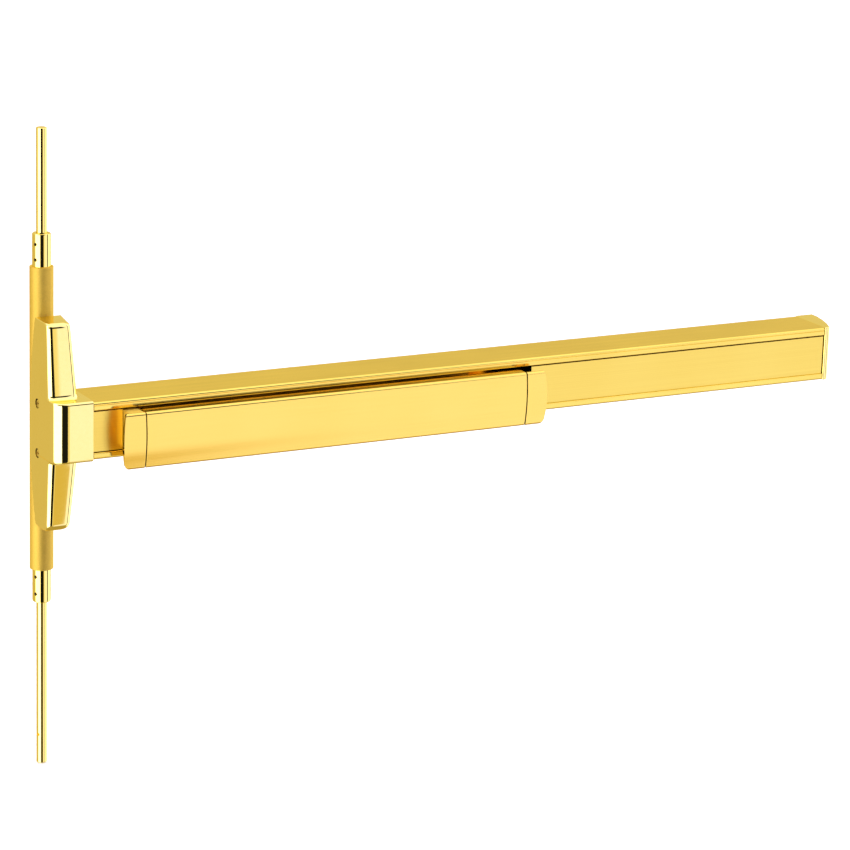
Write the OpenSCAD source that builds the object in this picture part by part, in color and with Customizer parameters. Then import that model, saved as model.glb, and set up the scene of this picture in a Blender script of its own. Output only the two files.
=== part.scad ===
// Panic exit bar for a narrow-stile door, with concealed vertical rods.
// X runs along the bar from the rod axis, Y goes into the door from its face, Z is up.

/* [Bar] */
// Height of the bar's channel
channel_h = 55; // [50:1:60]
// Distance from the door face to the channel's front lips
channel_front = 56; // [54:1:60]
// Right end of the channel, measured from the rod axis
channel_end = 834; // [760:2:1060]
// Wall of the channel
channel_wall = 2; // [1.6:0.2:2.4]
// Height of the lip above the front opening
upper_lip = 8; // [7:0.5:9]
// Height of the lip below the front opening
lower_lip = 6.5; // [6:0.5:7]

/* [Push pad] */
// Distance from the door face to the front of the pad
pad_front = 75; // [74.5:0.5:80]
// Left end of the pad
pad_left = 46.5; // [45:0.5:48]
// Right end of the pad
pad_right = 496; // [480:1:520]
// Length of each pad end cap
pad_cap_len = 22.5; // [20:0.5:26]
// Height of the pad's top above the bar's middle
pad_top = 18; // [17:0.5:18]
// Depth of the pad's bottom below the bar's middle
pad_bottom = 36; // [34:1:40]
// Travel of the pad
pad_travel = 14; // [10:1:14]

/* [Centre case] */
// Top of the centre case
case_top = 99; // [95:1:105]
// Depth of the bottom of the centre case
case_bottom = 102; // [95:1:105]
// Half-width of the case at its middle
case_half = 15; // [15:0.2:16]
// Half-width of the case at its ends
case_end_half = 12; // [12:0.2:13]
// Distance from the door face to the case front at its middle
case_depth = 42; // [40:1:44]
// Distance from the door face to the case front at its ends
case_end_depth = 30; // [28:1:32]
// Half-height of the arm that carries the bar
arm_half = 29; // [29:0.5:30]
// Right end of the arm
arm_end = 23.4; // [23:0.2:24]

/* [Rods] */
// Distance of the rod axis behind the door face
rod_y = 14.4; // [14:0.2:16]
// Diameter of the vertical rods
rod_d = 10; // [9:0.5:10]
// Diameter of the rod couplings
coupling_d = 17.5; // [17:0.5:18]
// Outside diameter of the rod housing
housing_d = 22.5; // [22:0.5:24]
// Upper end of the rod housing
housing_top = 143.8; // [140:0.2:150]
// Lower end of the rod housing
housing_bottom = 149.5; // [145:0.5:155]
// Upper end of the upper coupling
coupling_top = 175.6; // [172:0.2:180]
// Lower end of the lower coupling
coupling_bottom = 182.8; // [180:0.2:190]
// Upper end of the upper rod
rod_top = 274.5; // [240:0.5:1000]
// Lower end of the lower rod
rod_bottom = 345.5; // [260:0.5:1000]

/* [Hidden] */
$fn = 48;
eps = 0.01;

gold = [0.93, 0.76, 0.30];
satin_gold = [0.84, 0.70, 0.30];
steel = [0.62, 0.63, 0.65];
dark_steel = [0.36, 0.37, 0.40];
black = [0.10, 0.10, 0.10];

channel_half = channel_h / 2;
channel_back = 2;
channel_start = arm_end + 0.3;
opening_top = channel_half - upper_lip;
opening_bottom = channel_half - lower_lip;
inner_front = channel_front - channel_wall;
inner_back = channel_back + channel_wall;

// Pad section
pad_crown_r = 140;
pad_crown_z = -6;
pad_corner_r = 3;
pad_wall = 2.5;
pad_rim = 4.5;
pad_flange_back = 47;
pad_gap = 0.3;
pad_middle = (pad_left + pad_right) / 2;
skirt_inset = 7.5;
cap_bow = 2.4;

// Cranks: the pad end and the link end swing equally to each side of mid-travel
crank_pad_arm = 22;
crank_link_arm = 20;
crank_y = -32.5;
crank_xs = [150, 400];
crank_swing = asin(pad_travel / 2 / crank_pad_arm);
link_travel = 2 * crank_link_arm * sin(crank_swing);
link_y = crank_y + crank_link_arm * (1 + cos(crank_swing)) / 2;
pin_r = 2.5;
pin_play = 0.05;
slot_play = 0.15;

// Levers in the centre case turn the link's travel into the rods' travel
lever_arm = 18;
lever_swing = asin(link_travel / 2 / lever_arm);
upper_lever_y = -8.5;
lower_lever_y = -12;
lever_thick = 3;
slide_y = -4.9;
slide_thick = 3.1;

housing_bore_r = coupling_d / 2 + 0.05;
coupling_pin_turn = 62;
upper_pin_zs = [151, 165.6];
lower_pin_zs = [-157, -174];

// Points of an arc from angle a0 to a1
function arc(cx, cy, r, a0, a1, n = 6) =
    [for (i = [0:n]) [cx + r * cos(a0 + (a1 - a0) * i / n), cy + r * sin(a0 + (a1 - a0) * i / n)]];

// Extrudes a section drawn as (Y, Z) from x0 to x1
module along_x(x0, x1) {
    translate([x0, 0, 0])
        rotate([90, 0, 90])
            linear_extrude(x1 - x0) children();
}

// Extrudes an outline drawn as (X, Z) from y0 to y1
module along_y(y0, y1) {
    translate([0, y1, 0])
        rotate([90, 0, 0])
            linear_extrude(y1 - y0) children();
}

module block(low, high) {
    translate(low) cube(high - low);
}

// Cylinder along X, Y or Z between two places on that axis
module rod_x(r, x0, x1, y, z) {
    translate([x0, y, z]) rotate([0, 90, 0]) cylinder(r = r, h = x1 - x0);
}

module rod_y_axis(r, y0, y1, x, z) {
    translate([x, y1, z]) rotate([90, 0, 0]) cylinder(r = r, h = y1 - y0);
}

module rod_z(r, z0, z1, x, y) {
    translate([x, y, z0]) cylinder(r = r, h = z1 - z0);
}

/* ---------- centre case ---------- */

function case_t(z) = max(0, (abs(z) - arm_half) / (case_top - arm_half));
function case_w(z) = case_half + (case_end_half - case_half) * case_t(z);
function case_f(z) = case_depth + (case_end_depth - case_depth) * case_t(z);

// One slice of the case: square at the back, rounded at the two front corners
module case_slice(z, half, front, back, r) {
    translate([0, 0, z])
        linear_extrude(eps)
            polygon(concat(
                [[half, back], [-half, back]],
                arc(-half + r, -front + r, r, 180, 270),
                arc(half - r, -front + r, r, 270, 360)));
}

// The tapered case body; its back edge bows into the stile's cut-out
module case_body(inset, back_extra) {
    front_r = 5.7 - inset;
    hull() {
        for (s = [
            [case_top - inset, 6, 0], [case_top - 2 - inset, 2, 0], [case_top - 6 - inset, 0, 0.5],
            [56, 0, 6], [arm_half, 0, 6], [-arm_half, 0, 6], [-53, 0, 6],
            [-case_bottom + 6 + inset, 0, 1.5], [-case_bottom + 2 + inset, 2, 1],
            [-case_bottom + inset, 6, 0.5]
        ])
            case_slice(s[0], case_w(s[0]) - inset, case_f(s[0]) - s[1] - inset,
                       s[2] + back_extra, front_r);
    }
}

module arm_section(inset) {
    r = 13 - inset;
    polygon(concat(
        [[arm_end + inset, 0], [-case_half + inset, 0]],
        arc(-case_half + inset + r, -channel_front - 1 + inset + r, r, 180, 270, 10),
        [[arm_end + inset, -channel_front - 1 + inset]]));
}

side_screw_y = -12.7;
side_screw_zs = [20, -28];
side_screw_r = 3.4;
side_hole_r = 4.7;

module case_cover() {
    color(gold)
        difference() {
            union() {
                case_body(0, 0);
                translate([0, 0, -arm_half]) linear_extrude(2 * arm_half) arm_section(0);
            }
            case_body(2, 3);
            translate([0, 0, -arm_half + 1.5])
                linear_extrude(2 * arm_half - 3) arm_section(1.5);
            for (z = side_screw_zs)
                rod_x(side_hole_r, -case_half - 2, -case_half + 4, side_screw_y, z);
        }
}

bolt_xs = [-6.5, 6.5];
bolt_zs = [87.5, -87.5];
bolt_r = 2.25;
plate_t = 3;
pivot_x = lever_arm;
// the link's pin runs between the pivots, nearer than the lever's length by the arc's half drop
pivot_z = lever_arm * cos(lever_swing);
saddle_z = [83.3, 96.5];
foot_slot_half = 4.4;

module case_chassis() {
    color(steel)
        difference() {
            union() {
                block([-9.6, -plate_t, -case_bottom + 3], [9.6, 0, case_top - 3]);
                block([-12.4, -plate_t, -27], [22.5, 0, 27]);
                // ears that the cover's side screws bite into
                for (z = side_screw_zs)
                    block([-12.6, side_screw_y - 6, z - 5], [-8.5, -plate_t + eps, z + 5]);
            }
            for (x = bolt_xs, z = bolt_zs)
                rod_y_axis(bolt_r, -plate_t - 1, 1, x, z);
            for (s = [-1, 1])
                rod_y_axis(pin_r, -plate_t - 1, 1, pivot_x, s * pivot_z);
            for (s = [-1, 1])
                block([-foot_slot_half, -plate_t - 1, s > 0 ? 48 : -80],
                      [foot_slot_half, 1, s > 0 ? 80 : -48]);
            for (z = side_screw_zs)
                rod_x(1.6, -13, -8, side_screw_y, z);
        }
}

// Countersunk screws that hold the cover's side to the chassis
module cover_side_screws() {
    color(gold)
        for (z = side_screw_zs)
            difference() {
                union() {
                    rod_x(side_screw_r, -case_half + 0.7, -12.6, side_screw_y, z);
                    rod_x(1.6, -12.7, -8.6, side_screw_y, z);
                }
                // cross recess
                for (a = [0, 90])
                    translate([-case_half + 0.7, side_screw_y, z])
                        rotate([a, 0, 0])
                            block([-1, -2.1, -0.5], [1, 2.1, 0.5]);
            }
}

module lever_pivot_pins() {
    color(dark_steel)
        for (s = [-1, 1])
            union() {
                rod_y_axis(pin_r - pin_play, -14.2, 0, pivot_x, s * pivot_z);
                rod_y_axis(pin_r + 1.2, -15.4, -14.2, pivot_x, s * pivot_z);
            }
}

/* ---------- rod housing ---------- */

module rod_housing() {
    color(satin_gold)
        difference() {
            rod_z(housing_d / 2, -housing_bottom, housing_top, 0, rod_y);
            rod_z(housing_bore_r, -housing_bottom - 1, housing_top + 1, 0, rod_y);
            for (z = [48, -84])
                block([-foot_slot_half, 0, z], [foot_slot_half, rod_y, z + 36]);
        }
}

// Blocks between the chassis and the housing, hollowed to the tube
module housing_saddles() {
    color(steel)
        for (s = [-1, 1])
            difference() {
                block([-9, 0, s > 0 ? saddle_z[0] : -saddle_z[1]],
                      [9, rod_y - 4, s > 0 ? saddle_z[1] : -saddle_z[0]]);
                rod_z(housing_d / 2, -200, 200, 0, rod_y);
                for (x = bolt_xs, b = bolt_zs)
                    rod_y_axis(bolt_r + 1, -1, 20, x, b);
            }
}

saddle_screw_zs = [93, -93];

module saddle_screws() {
    color(dark_steel)
        for (z = saddle_screw_zs)
            union() {
                rod_y_axis(1.5, -plate_t - eps, 2.4, 0, z);
                rod_y_axis(2.8, -plate_t - 1.6, -plate_t, 0, z);
            }
}

/* ---------- channel and its fixed parts ---------- */

// Closed outline of the channel's section, with a fine groove along the upper lip
module channel_section() {
    h = channel_half;
    f = -channel_front;
    b = -channel_back;
    w = channel_wall;
    r = 2.5;
    polygon(concat(
        [[b, -h], [b, h]],
        arc(f + r, h - r, r, 90, 180),
        [[f, opening_top + 5.4], [f + 0.5, opening_top + 5.1], [f + 0.5, opening_top + 4.9],
         [f, opening_top + 4.6]],
        arc(f + 1, opening_top + 1, 1, 180, 270, 3),
        [[f + w, opening_top], [f + w, h - w], [b - w, h - w], [b - w, -h + w],
         [f + w, -h + w], [f + w, -opening_bottom]],
        arc(f + 1, -opening_bottom - 1, 1, 90, 180, 3),
        arc(f + r, -h + r, r, 180, 270)));
}

rail_screw_xs = [70, 300, 560, 780];

module channel() {
    color(gold)
        difference() {
            along_x(channel_start, channel_end) channel_section();
            for (x = rail_screw_xs)
                rod_y_axis(2.25, -5, 0, x, 0);
        }
}

rail_half = 20;
bracket_start = 812;

module mounting_rail() {
    color(steel)
        difference() {
            block([30, -channel_back, -rail_half], [bracket_start - 1, 0, rail_half]);
            for (x = rail_screw_xs)
                rod_y_axis(1.75, -5, 1, x, 0);
        }
}

// Sheet that closes the channel's front between the lips
module filler_plate(x0, x1) {
    block([x0, -inner_front, -opening_bottom - 2.5], [x1, -inner_front + 1.5, opening_top + 2.5]);
}

module left_filler_plate() {
    color(gold) filler_plate(channel_start + 0.3, pad_left + 5);
}

module right_filler_plate() {
    color(gold) filler_plate(pad_right - 5, channel_end - 0.3);
}

base_x = [95, 445];
base_half = 22;
base_t = 2;
base_front = inner_back + base_t;
ear_z = 9;
ear_t = 2.5;
bumper_dx = 28;
bumper_post = 20;
bumper_front = 39;
seat_x = 300;
spring_y = -26;

module mechanism_base() {
    color(steel)
        difference() {
            union() {
                block([base_x[0], -base_front, -base_half], [base_x[1], -inner_back, base_half]);
                for (x = crank_xs, s = [-1, 1]) {
                    z0 = s > 0 ? ear_z : -ear_z - ear_t;
                    block([x - 7, crank_y, z0], [x + 7, -inner_back - eps, z0 + ear_t]);
                    rod_z(7, z0, z0 + ear_t, x, crank_y);
                }
                for (x = crank_xs)
                    difference() {
                        block([x + bumper_dx - 6, -bumper_post, -10],
                              [x + bumper_dx + 6, -inner_back - eps, 10]);
                        // passage for the link bar
                        block([x + bumper_dx - 7, -19.4, -2.2], [x + bumper_dx + 7, -base_front, 2.2]);
                    }
                difference() {
                    block([seat_x, spring_y - 7, -9], [seat_x + 3, -inner_back - eps, 9]);
                    block([seat_x - 1, -19.4, -2.2], [seat_x + 4, -base_front, 2.2]);
                    rod_x(pin_r, seat_x - 1, seat_x + 4, spring_y, 0);
                }
            }
            for (x = crank_xs)
                rod_z(pin_r, -20, 20, x, crank_y);
            for (x = rail_screw_xs)
                rod_y_axis(2.25, -10, 0, x, 0);
            for (x = [115, 425], z = [-16, 16])
                rod_y_axis(1.75, -10, 0, x, z);
        }
}

// Screws through the base or the channel's back into the mounting rail
module base_screws() {
    color(dark_steel)
        for (x = rail_screw_xs) {
            seat = (x > base_x[0] && x < base_x[1]) ? base_front : inner_back;
            union() {
                rod_y_axis(1.7, -seat - eps, -0.2, x, 0);
                rod_y_axis(3.2, -seat - 1.2, -seat, x, 0);
            }
        }
}

module crank_pivot_pins() {
    color(dark_steel)
        for (x = crank_xs)
            union() {
                rod_z(pin_r - pin_play, -12.5, 12.5, x, crank_y);
                rod_z(pin_r + 1, 11.6, 12.8, x, crank_y);
            }
}

guide_xs = [225, 345];

module link_guides() {
    color(black)
        for (x = guide_xs)
            difference() {
                block([x - 6, -21, -5], [x + 6, -base_front, 5]);
                block([x - 7, -19, -1.9], [x + 7, -7, 1.9]);
            }
}

collar_x = 250;
collar_t = 2.5;

module spring_guide_pin() {
    color(steel)
        union() {
            rod_x(pin_r - pin_play, 238, seat_x + 3.4, spring_y, 0);
            rod_x(4, seat_x + 3, seat_x + 4.6, spring_y, 0);
        }
}

spring_turns = 9;
spring_r = 4.6;
wire_r = 0.7;
spring_sides = 6;
spring_steps = 14;

// Helical compression spring, swept turn by turn as one closed skin
module return_spring() {
    x0 = collar_x + collar_t + wire_r + 0.05;
    x1 = seat_x - wire_r - 0.05;
    n = spring_turns * spring_steps;
    points = [for (i = [0:n], j = [0:spring_sides - 1])
        let (a = 360 * i / spring_steps,
             b = 360 * j / spring_sides,
             r = spring_r + wire_r * cos(b))
        [x0 + (x1 - x0) * i / n + wire_r * sin(b), spring_y + r * cos(a), r * sin(a)]];
    skin = [for (i = [0:n - 1], j = [0:spring_sides - 1])
        let (k = (j + 1) % spring_sides)
        [i * spring_sides + j, i * spring_sides + k,
         (i + 1) * spring_sides + k, (i + 1) * spring_sides + j]];
    first = [for (j = [spring_sides - 1:-1:0]) j];
    last = [for (j = [0:spring_sides - 1]) n * spring_sides + j];
    color(dark_steel)
        polyhedron(points = points, faces = concat(skin, [first, last]));
}

module stop_bumpers() {
    color(black)
        for (x = crank_xs)
            rod_y_axis(5, -bumper_front, -bumper_post, x + bumper_dx, 0);
}

end_web_x = channel_end + 3;
end_bolt_x = channel_end + 11;
end_bolt_zs = [-13, 13];
end_bolt_r = 2.75;
cap_screw_zs = [-11, 11];
cap_end = channel_end + 21;

module end_bracket() {
    color(steel)
        difference() {
            union() {
                block([bracket_start, -channel_back, -rail_half], [cap_end - 4, 0, rail_half]);
                block([end_web_x, -46, -rail_half], [end_web_x + 2, -channel_back + eps, rail_half]);
                // tongues inside the channel
                for (s = [-1, 1])
                    block([bracket_start, -46, s > 0 ? 22 : -24],
                          [end_web_x + 2, -8, s > 0 ? 24 : -22]);
                for (s = [-1, 1])
                    block([end_web_x, -46, s > 0 ? 19 : -24],
                          [end_web_x + 2, -8, s > 0 ? 24 : -19]);
            }
            for (z = end_bolt_zs)
                rod_y_axis(end_bolt_r, -5, 1, end_bolt_x, z);
            for (z = cap_screw_zs)
                rod_x(1.75, end_web_x - 1, end_web_x + 3, -34, z);
        }
}

// Plan of the end cap: flush with the channel's front, sloping back to its rounded end
module cap_plan(inset) {
    r = 4 - inset / 2;
    polygon(concat(
        [[channel_end + 0.2 - inset, 0.02 + inset], [cap_end - inset, 0.02 + inset]],
        arc(cap_end - 14 + 2, -9.5 - inset / 4, 12 - inset, 0, -19),
        arc(channel_end + 3.6, -channel_front + r + inset, r, -22, -90),
        [[channel_end + 0.2 - inset, -channel_front + inset]]));
}

module end_cap() {
    half = channel_half + 0.4;
    color(gold)
        difference() {
            translate([0, 0, -half]) linear_extrude(2 * half) cap_plan(0);
            translate([0, 0, -half + 2]) linear_extrude(2 * half - 4) cap_plan(2);
            block([channel_end - 3, -channel_front + 2, -half + 2],
                  [channel_end + 4, 1, half - 2]);
            for (z = cap_screw_zs)
                rod_x(1.9, channel_end, cap_end + 2, -34, z);
        }
}

module end_cap_screws() {
    color(gold)
        for (z = cap_screw_zs)
            union() {
                rod_x(1.7, end_web_x - 2, cap_end - 9, -34, z);
                rod_x(3.4, end_web_x + 2, end_web_x + 4, -34, z);
            }
}

/* ---------- push pad ---------- */

function crown(z) = -pad_front + pad_crown_r - sqrt(pow(pad_crown_r, 2) - pow(z - pad_crown_z, 2));

// Front of the pad from its bottom corner to its top corner, as (Y, Z)
function pad_face(n = 16) =
    [for (i = [0:n]) let (z = -pad_bottom + pad_corner_r
        + (pad_top + pad_bottom - 2 * pad_corner_r) * i / n) [crown(z), z]];

// Solid outline of the pad from its crowned front back to y_back
module pad_outline(y_back) {
    top_y = crown(pad_top - pad_corner_r);
    low_y = crown(-pad_bottom + pad_corner_r);
    polygon(concat(
        arc(low_y + pad_corner_r, -pad_bottom + pad_corner_r, pad_corner_r, 270, 180, 5),
        pad_face(),
        arc(top_y + pad_corner_r, pad_top - pad_corner_r, pad_corner_r, 180, 90, 5),
        [[y_back, pad_top], [y_back, -pad_bottom]]));
}

rim_y = -pad_front + pad_rim;

module pad_section() {
    top_in = pad_top - pad_wall;
    difference() {
        pad_outline(-pad_flange_back);
        // behind the front wall, under the top flange
        translate([rim_y, -pad_bottom - 1])
            square([pad_front, pad_bottom + 1 + top_in]);
    }
}

module pad_bar() {
    color(gold)
        along_x(pad_left + pad_cap_len + pad_gap, pad_right - pad_cap_len - pad_gap) pad_section();
}

// The front of the pad without what lies behind its rim
module cap_section() {
    difference() {
        pad_outline(-pad_flange_back);
        translate([rim_y, -pad_bottom - 1])
            square([pad_front, pad_bottom + pad_top + 2]);
    }
}

// Left cap: a bowed front shell with a narrower skirt that enters the channel
module pad_cap() {
    x1 = pad_left + pad_cap_len;
    skirt_left = pad_left + skirt_inset;
    skirt_t = 2;
    h = pad_top + pad_bottom;
    bow_r = (pow(h / 2, 2) + pow(cap_bow, 2)) / (2 * cap_bow);
    bow_z = (pad_top - pad_bottom) / 2;
    half_angle = asin((h / 2 + 1) / bow_r);
    union() {
        intersection() {
            along_x(pad_left - 1, x1) cap_section();
            along_y(-pad_front - 1, 0)
                polygon(concat(
                    arc(pad_left + bow_r, bow_z, bow_r, 180 - half_angle, 180 + half_angle, 9),
                    [[x1 + 1, bow_z - h / 2 - 1], [x1 + 1, bow_z + h / 2 + 1]]));
        }
        block([skirt_left, rim_y - 2, pad_top - pad_wall - 0.5],
              [x1 - 0.5, -pad_flange_back, pad_top - 0.5]);
        block([skirt_left, rim_y - 1.5, -18],
              [skirt_left + skirt_t, -pad_flange_back, pad_top - 1.5]);
    }
}

module pad_cap_left() {
    color(gold) pad_cap();
}

module pad_cap_right() {
    color(gold)
        translate([2 * pad_middle, 0, 0]) mirror([1, 0, 0]) pad_cap();
}

lug_z = 5.4;
lug_t = 3;
pad_pin_dx = -crank_pad_arm * cos(crank_swing);
pad_pin_y = crank_y - crank_pad_arm * sin(crank_swing);
foot_front = rim_y;
foot_t = 2.5;

// Bracket behind the pad: two lugs hold the crank's pin, a leg meets the bumper
module pad_bracket(x) {
    px = x + pad_pin_dx;
    difference() {
        union() {
            block([px - 12, foot_front, -13], [x + bumper_dx + 8, foot_front + foot_t, 12]);
            for (s = [-1, 1]) {
                z0 = s > 0 ? lug_z : -lug_z - lug_t;
                block([px - 6, foot_front + foot_t - eps, z0], [px + 6, pad_pin_y, z0 + lug_t]);
                rod_z(6, z0, z0 + lug_t, px, pad_pin_y);
            }
            block([x + bumper_dx - 4, foot_front + foot_t - eps, -5],
                  [x + bumper_dx + 4, -bumper_front - pad_travel - 0.4, 5]);
        }
        // slots that let the pins shift along X as the cranks swing
        for (z0 = [-lug_z - lug_t - 1, lug_z - 1])
            union() {
                block([px - 1.3, pad_pin_y - pin_r - slot_play, z0],
                      [px + 0.2, pad_pin_y + pin_r + slot_play, z0 + lug_t + 2]);
                rod_z(pin_r + slot_play, z0, z0 + lug_t + 2, px - 1.3, pad_pin_y);
                rod_z(pin_r + slot_play, z0, z0 + lug_t + 2, px + 0.2, pad_pin_y);
            }
    }
}

module pad_bracket_left() {
    color(steel) pad_bracket(crank_xs[0]);
}

module pad_bracket_right() {
    color(steel) pad_bracket(crank_xs[1]);
}

module pad_bracket_screws() {
    color(dark_steel)
        for (x = crank_xs, dx = [pad_pin_dx - 9, 8])
            union() {
                rod_y_axis(1.7, foot_front - 1.5, foot_front + foot_t + eps, x + dx, 0);
                rod_y_axis(3, foot_front + foot_t, foot_front + foot_t + 1.6, x + dx, 0);
            }
}

/* ---------- cranks, in mid-travel about their pivot ---------- */

module crank(x) {
    translate([x, crank_y, 0])
        rotate([0, 0, crank_swing])
            difference() {
                union() {
                    cylinder(r = 5.5, h = 2 * ear_z - 1, center = true);
                    block([-crank_pad_arm, -4.5, -5], [0, 4.5, 5]);
                    translate([-crank_pad_arm, 0, -5]) cylinder(r = 4.5, h = 10);
                    for (z0 = [-5, 2]) {
                        block([-4, 0, z0], [4, crank_link_arm, z0 + 3]);
                        translate([0, crank_link_arm, z0]) cylinder(r = 4, h = 3);
                    }
                }
                cylinder(r = pin_r, h = 40, center = true);
                translate([-crank_pad_arm, 0, 0]) cylinder(r = pin_r, h = 40, center = true);
                translate([0, crank_link_arm, 0]) cylinder(r = pin_r, h = 40, center = true);
            }
}

module crank_pins(x) {
    translate([x, crank_y, 0])
        rotate([0, 0, crank_swing]) {
            translate([-crank_pad_arm, 0, 0]) cylinder(r = pin_r, h = 18, center = true);
            translate([0, crank_link_arm, 0]) cylinder(r = pin_r, h = 10.6, center = true);
        }
}

module crank_left() {
    color(steel) crank(crank_xs[0]);
}

module crank_left_pins() {
    color(dark_steel) crank_pins(crank_xs[0]);
}

module crank_right() {
    color(steel) crank(crank_xs[1]);
}

module crank_right_pins() {
    color(dark_steel) crank_pins(crank_xs[1]);
}

/* ---------- link ---------- */

link_half = 5.5;
link_t = 1.5;
link_x = [30, 405];
clevis_y = [-17, -14];
link_pin_x = pivot_x - link_travel / 2;

module link_bar() {
    slot_half = crank_link_arm * (1 - cos(crank_swing)) / 2;
    color(steel)
        difference() {
            union() {
                block([link_x[0], link_y - link_half, -link_t], [link_x[1], link_y + link_half, link_t]);
                block([collar_x, spring_y - 6.5, -6], [collar_x + collar_t, link_y - link_half + 2, 6]);
            }
            for (x = crank_xs) {
                px = x - crank_link_arm * sin(crank_swing);
                block([px - pin_r - slot_play, link_y - slot_half, -5],
                      [px + pin_r + slot_play, link_y + slot_half, 5]);
                for (s = [-1, 1])
                    rod_z(pin_r + slot_play, -5, 5, px, link_y + s * slot_half);
            }
            rod_x(pin_r + 0.3, collar_x - 1, collar_x + collar_t + 1, spring_y, 0);
            for (x = [38, 50])
                rod_z(1.7, -5, 5, x, link_y);
        }
}

module link_clevis() {
    color(steel)
        difference() {
            union() {
                block([link_pin_x - 5, clevis_y[0], -6], [link_x[0], clevis_y[1], 6]);
                block([link_x[0] - 2, clevis_y[0], link_t], [56, link_y + 4, 6]);
                block([link_x[0] - 2, clevis_y[0], -6], [link_x[0], link_y + 4, 6]);
            }
            rod_y_axis(pin_r, -30, 0, link_pin_x, 0);
            for (x = [38, 50])
                rod_z(1.7, 0, 10, x, link_y);
        }
}

module link_screws() {
    color(dark_steel)
        for (x = [38, 50])
            union() {
                rod_z(1.7, -link_t, 6 + eps, x, link_y);
                rod_z(3, 6, 7.6, x, link_y);
            }
}

module link_pin() {
    color(dark_steel)
        union() {
            rod_y_axis(pin_r, clevis_y[0] - 0.5, -6.9, link_pin_x, 0);
            rod_y_axis(pin_r + 1, clevis_y[0] - 1.6, clevis_y[0], link_pin_x, 0);
        }
}

/* ---------- levers, in mid-travel about their pivot; the lower one is the mirror image ---------- */

module lever_plate(y) {
    arc_drop = lever_arm * (1 - cos(lever_swing));
    translate([pivot_x, y, pivot_z])
        rotate([90, lever_swing, 0])
            difference() {
                linear_extrude(lever_thick, center = true)
                    difference() {
                        union() {
                            circle(r = 5);
                            polygon([[3.5, 3], [-lever_arm, 3.6], [-lever_arm, -3.6], [-3.6, -3.6],
                                     [-3.6, -lever_arm - 1], [3.6, -lever_arm - 1], [3.6, 0]]);
                            translate([-lever_arm, 0]) circle(r = 3.6);
                            translate([0, -lever_arm - 1]) circle(r = 3.6);
                        }
                    }
                cylinder(r = pin_r, h = 10, center = true);
                translate([-lever_arm, 0, 0]) cylinder(r = 2, h = 10, center = true);
                // slot that takes up the arc against the link's straight travel
                for (d = [0.3, -arc_drop - 0.3])
                    translate([0, -lever_arm - d * 1, 0])
                        cylinder(r = 0.01 + pin_r + slot_play, h = 10, center = true);
                translate([0, -lever_arm + arc_drop / 2, 0])
                    cube([2 * (pin_r + slot_play), arc_drop + 0.6, 10], center = true);
            }
}

module lever_output_pin(y0, y1) {
    translate([pivot_x, 0, pivot_z])
        rotate([0, lever_swing, 0])
            rod_y_axis(2, y0, y1, -lever_arm, 0);
}

module upper_lever() {
    color(steel) lever_plate(upper_lever_y);
}

module upper_lever_pin() {
    color(dark_steel) lever_output_pin(upper_lever_y - lever_thick / 2 - 0.4, -3.5);
}

module lower_lever() {
    color(steel) mirror([0, 0, 1]) lever_plate(lower_lever_y);
}

module lower_lever_pin() {
    color(dark_steel)
        mirror([0, 0, 1]) lever_output_pin(lower_lever_y - lever_thick / 2 - 0.4, -3.5);
}

/* ---------- rods; the lower set is drawn mirrored in Z ---------- */

output_z = pivot_z + lever_arm * sin(lever_swing);
output_x = pivot_x - lever_arm * cos(lever_swing);
collar_z = [66, 78];
collar_r = coupling_d / 2 - 0.4;

module rod_slide() {
    difference() {
        union() {
            block([-6, slide_y - slide_thick / 2, output_z - 6], [6, slide_y + slide_thick / 2, collar_z[1]]);
            block([-3.6, slide_y, collar_z[0]], [3.6, rod_y, collar_z[1]]);
            rod_z(collar_r, collar_z[0], collar_z[1], 0, rod_y);
        }
        union() {
            block([0, -10, output_z - 2.15], [output_x, 0, output_z + 2.15]);
            rod_y_axis(2.15, -10, 0, 0, output_z);
            rod_y_axis(2.15, -10, 0, output_x, output_z);
        }
        rod_z(3, collar_z[0] - 1, collar_z[1] + 1, 0, rod_y);
    }
}

module drive_screw() {
    union() {
        rod_z(3, collar_z[0] - eps, collar_z[1] + 16, 0, rod_y);
        rod_z(5, collar_z[0] - 4, collar_z[0], 0, rod_y);
    }
}

// Solid coupling with a socket for the rod, a chamfered outer end and two cross holes
module rod_coupling(end_z, pin_zs) {
    difference() {
        union() {
            rod_z(coupling_d / 2, collar_z[1], end_z - 2, 0, rod_y);
            translate([0, rod_y, end_z - 2])
                cylinder(r1 = coupling_d / 2, r2 = coupling_d / 2 - 1.4, h = 2);
        }
        rod_z(3, collar_z[1] - 1, collar_z[1] + 17, 0, rod_y);
        rod_z(rod_d / 2, pin_zs[0] - 8, end_z + 1, 0, rod_y);
        for (z = pin_zs)
            translate([0, rod_y, z])
                rotate([0, 90, 90 - coupling_pin_turn])
                    cylinder(r = 1.75, h = 30, center = true);
    }
}

module rod(start_z, end_z) {
    difference() {
        rod_z(rod_d / 2, start_z, end_z, 0, rod_y);
        children();
    }
}

module cross_hole(z, r) {
    translate([0, rod_y, z])
        rotate([0, 90, 90 - coupling_pin_turn])
            cylinder(r = r, h = 30, center = true);
}

// Slotted spring pins, a little shorter than the coupling is wide
module coupling_pins(zs) {
    for (z = zs)
        translate([0, rod_y, z])
            rotate([0, 90, 90 - coupling_pin_turn])
                difference() {
                    cylinder(r = 1.75, h = coupling_d - 3, center = true);
                    cylinder(r = 1, h = 30, center = true);
                }
}

module upper_slide() {
    color(steel) rod_slide();
}

module upper_drive_screw() {
    color(dark_steel) drive_screw();
}

module upper_coupling() {
    color(gold) rod_coupling(coupling_top, upper_pin_zs);
}

module upper_rod() {
    color(gold)
        rod(upper_pin_zs[0] - 8, rod_top)
            for (z = upper_pin_zs) cross_hole(z, 1.75);
}

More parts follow.
